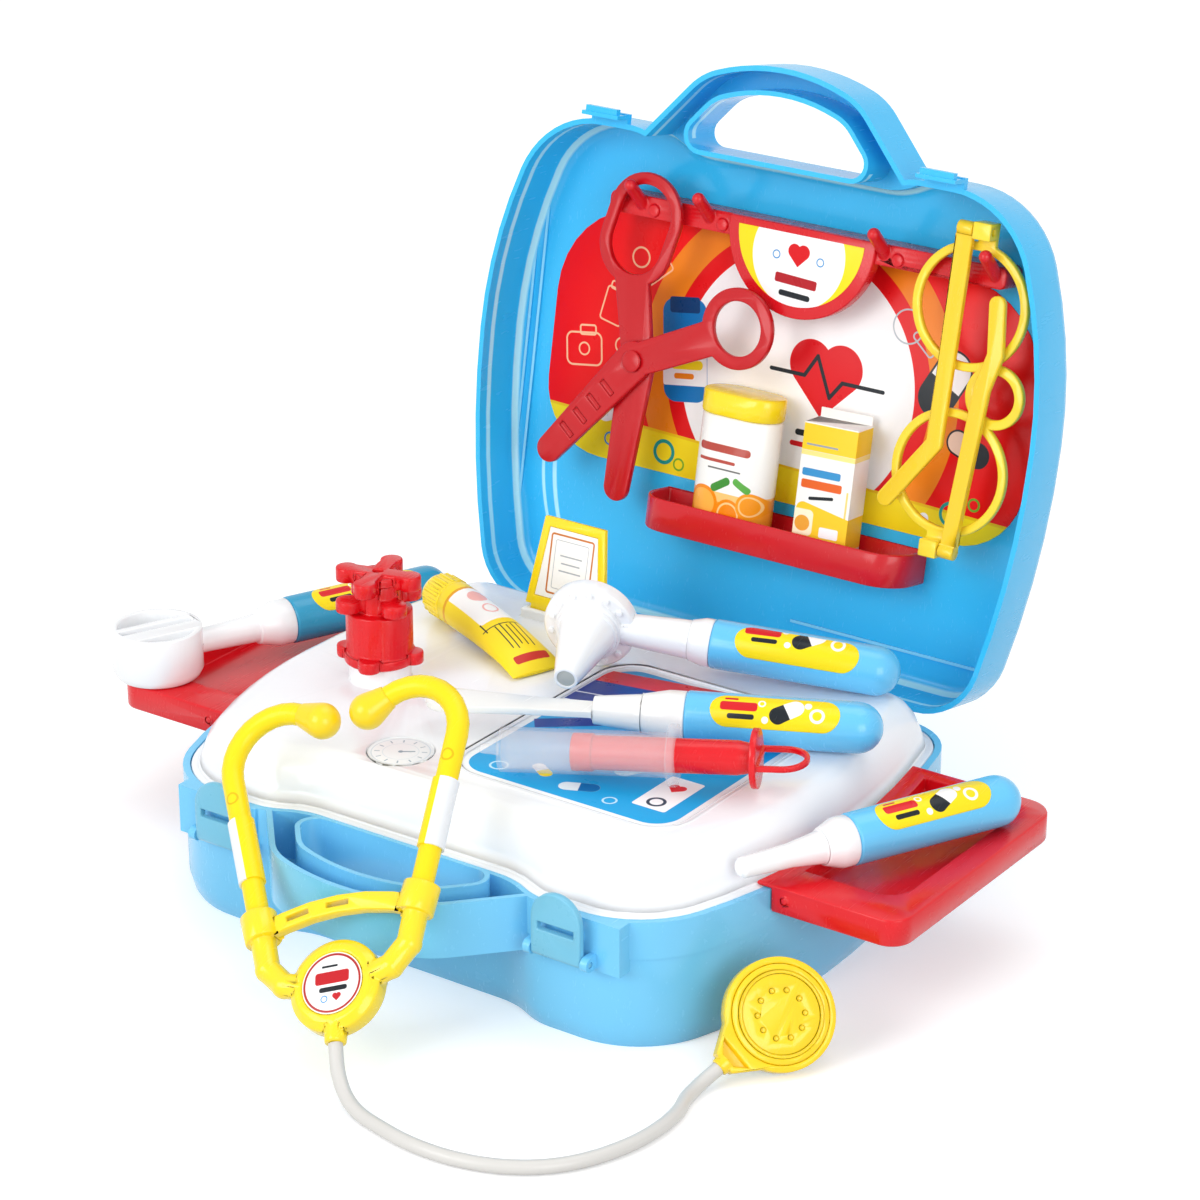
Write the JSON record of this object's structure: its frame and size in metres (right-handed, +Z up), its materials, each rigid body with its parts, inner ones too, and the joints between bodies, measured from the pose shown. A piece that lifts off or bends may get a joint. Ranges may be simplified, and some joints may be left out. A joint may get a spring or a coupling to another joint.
{
  "type": "toy doctor case",
  "caption": "Open plastic carry case with a hinged lid, handle, latches, side trays, a turning carousel and a set of toy medical instruments.",
  "frame": {"origin": "on the floor, at the middle of the flat underside of the base", "axes": "+Z up; -Y towards the handle and latches, +Y towards the lid hinge; +X to the right for someone facing the handle"},
  "size_m": [0.3834, 0.3824, 0.2968],
  "materials": {
    "shell_blue": "glossy moulded plastic",
    "lid_blue": "glossy moulded plastic",
    "latch_blue": "glossy moulded plastic",
    "white_plastic": "glossy moulded plastic",
    "red_plastic": "glossy moulded plastic",
    "yellow_plastic": "glossy moulded plastic",
    "grip_blue": "glossy moulded plastic",
    "label_yellow": null,
    "print_paper": null,
    "pin_steel": "plain wire",
    "clear_plastic": "translucent",
    "hose_grey": "smooth soft tube",
    "sleeve_pale": "smooth",
    "blade_cream": "smooth",
    "lens_grey": "smooth",
    "tube_yellow": null,
    "bottle_white": null,
    "carton_board": null
  },
  "bodies": {
    "base": {"base_shell": "shell_blue", "table_insert": "white_plastic", "table_print": "print_paper", "dial_disc": "print_paper", "hinge_pins": "pin_steel"},
    "lid": {"lid_shell": "lid_blue", "lid_print": "print_paper", "hook_rail": "red_plastic", "shield_label": "label_yellow", "lid_shelf": "red_plastic"},
    "latch_left": {"latch_left": "latch_blue"},
    "latch_right": {"latch_right": "latch_blue"},
    "tray_left": {"tray_left": "red_plastic"},
    "tray_right": {"tray_right": "red_plastic"},
    "carousel": {"carousel": "red_plastic"},
    "hammer": {"hammer_head": "white_plastic", "hammer_grip": "grip_blue", "hammer_label": "label_yellow"},
    "thermometer": {"thermometer_probe": "white_plastic", "thermometer_grip": "grip_blue", "thermometer_label": "label_yellow"},
    "otoscope": {"otoscope_head": "white_plastic", "otoscope_lens": "lens_grey", "otoscope_grip": "grip_blue", "otoscope_label": "label_yellow"},
    "depressor": {"depressor_blade": "blade_cream", "depressor_grip": "grip_blue", "depressor_label": "label_yellow"},
    "syringe": {"syringe_barrel": "clear_plastic"},
    "plunger": {"syringe_plunger": "red_plastic"},
    "ointment": {"ointment_tube": "tube_yellow"},
    "ointment_cap": {"ointment_cap": "yellow_plastic"},
    "chart": {"chart_frame": "yellow_plastic", "chart_card": "print_paper"},
    "stethoscope": {"scope_yoke": "yellow_plastic", "scope_badge": "print_paper", "spring_bar": "yellow_plastic", "ear_tube_left": "yellow_plastic", "ear_tube_right": "yellow_plastic", "sleeve_left": "sleeve_pale", "sleeve_right": "sleeve_pale", "ear_tip_left": "yellow_plastic", "ear_tip_right": "yellow_plastic", "scope_hose": "hose_grey", "chest_cup": "yellow_plastic", "chest_disc": "yellow_plastic"},
    "scissors_long": {"scissor_half_long": "red_plastic"},
    "scissors_round": {"scissor_half_round": "red_plastic"},
    "glasses": {"glasses_frame": "yellow_plastic"},
    "temple_upper": {"temple_upper": "yellow_plastic"},
    "temple_lower": {"temple_lower": "yellow_plastic"},
    "bottle": {"pill_bottle": "bottle_white", "bottle_cap": "yellow_plastic"},
    "carton": {"carton": "carton_board"}
  },
  "joints": [
    {"name": "lid_hinge", "type": "hinge", "parent": "base", "child": "lid", "pos_m": [0, 0.1182, 0.052], "axis": [-1, 0, 0], "range_deg": [-35, 0]},
    {"name": "latch_left_hinge", "type": "hinge", "parent": "base", "child": "latch_left", "pos_m": [-0.08, -0.1024, 0.037], "axis": [1, 0, 0], "range_deg": [0, 80]},
    {"name": "latch_right_hinge", "type": "hinge", "parent": "base", "child": "latch_right", "pos_m": [0.08, -0.1024, 0.037], "axis": [1, 0, 0], "range_deg": [0, 80]},
    {"name": "tray_left_slide", "type": "slide", "parent": "base", "child": "tray_left", "axis": [-1, 0, 0], "range_m": [0, 0.03]},
    {"name": "tray_right_slide", "type": "slide", "parent": "base", "child": "tray_right", "axis": [1, 0, 0], "range_m": [0, 0.03]},
    {"name": "carousel_spin", "type": "hinge", "parent": "base", "child": "carousel", "pos_m": [-0.075, -0.008, 0.09], "axis": [0, 0, 1], "continuous": true},
    {"name": "hammer_lift", "type": "slide", "parent": "tray_left", "child": "hammer", "axis": [0, 0, 1], "range_m": [0, 0.025]},
    {"name": "thermometer_lift", "type": "slide", "parent": "tray_right", "child": "thermometer", "axis": [0, 0, 1], "range_m": [0, 0.025]},
    {"name": "otoscope_lift", "type": "slide", "parent": "base", "child": "otoscope", "axis": [0, 0, 1], "range_m": [0, 0.025]},
    {"name": "depressor_lift", "type": "slide", "parent": "base", "child": "depressor", "axis": [0, 0, 1], "range_m": [0, 0.025]},
    {"name": "syringe_lift", "type": "slide", "parent": "base", "child": "syringe", "axis": [0, 0, 1], "range_m": [0, 0.025]},
    {"name": "plunger_slide", "type": "slide", "parent": "syringe", "child": "plunger", "axis": [0.9117, 0.4078, 0.05], "range_m": [-0.024, 0.008]},
    {"name": "ointment_slide_out", "type": "slide", "parent": "base", "child": "ointment", "axis": [-0.903, 0.343, 0.2588], "range_m": [0, 0.02]},
    {"name": "ointment_cap_twist", "type": "hinge", "parent": "ointment", "child": "ointment_cap", "pos_m": [-0.096, 0.057, 0.0828], "axis": [0.9348, -0.3551, 0], "continuous": true},
    {"name": "chart_lift", "type": "slide", "parent": "base", "child": "chart", "axis": [0, 0.2079, 0.9781], "range_m": [0, 0.025]},
    {"name": "stethoscope_lift", "type": "slide", "parent": "base", "child": "stethoscope", "axis": [0, 0, 1], "range_m": [0, 0.025]},
    {"name": "scissors_lift", "type": "slide", "parent": "lid", "child": "scissors_long", "axis": [0, -0.6089, 0.7932], "range_m": [0, 0.018]},
    {"name": "scissors_pivot", "type": "hinge", "parent": "scissors_long", "child": "scissors_round", "pos_m": [-0.059, 0.1464, 0.16576], "axis": [0, -0.9833, 0.1822], "range_deg": [0, 32]},
    {"name": "glasses_lift", "type": "slide", "parent": "lid", "child": "glasses", "axis": [0, -0.6089, 0.7932], "range_m": [0, 0.008]},
    {"name": "temple_upper_hinge", "type": "hinge", "parent": "glasses", "child": "temple_upper", "pos_m": [0.09, 0.16094, 0.24695], "axis": [-1, 0, 0], "range_deg": [0, 85]},
    {"name": "temple_lower_hinge", "type": "hinge", "parent": "glasses", "child": "temple_lower", "pos_m": [0.1, 0.13734, 0.11962], "axis": [1, 0, 0], "range_deg": [0, 85]},
    {"name": "bottle_lift", "type": "slide", "parent": "lid", "child": "bottle", "axis": [0, 0.1822, 0.9833], "range_m": [0, 0.008]},
    {"name": "carton_lift", "type": "slide", "parent": "lid", "child": "carton", "axis": [0, 0.1822, 0.9833], "range_m": [0, 0.02]}
  ]
}
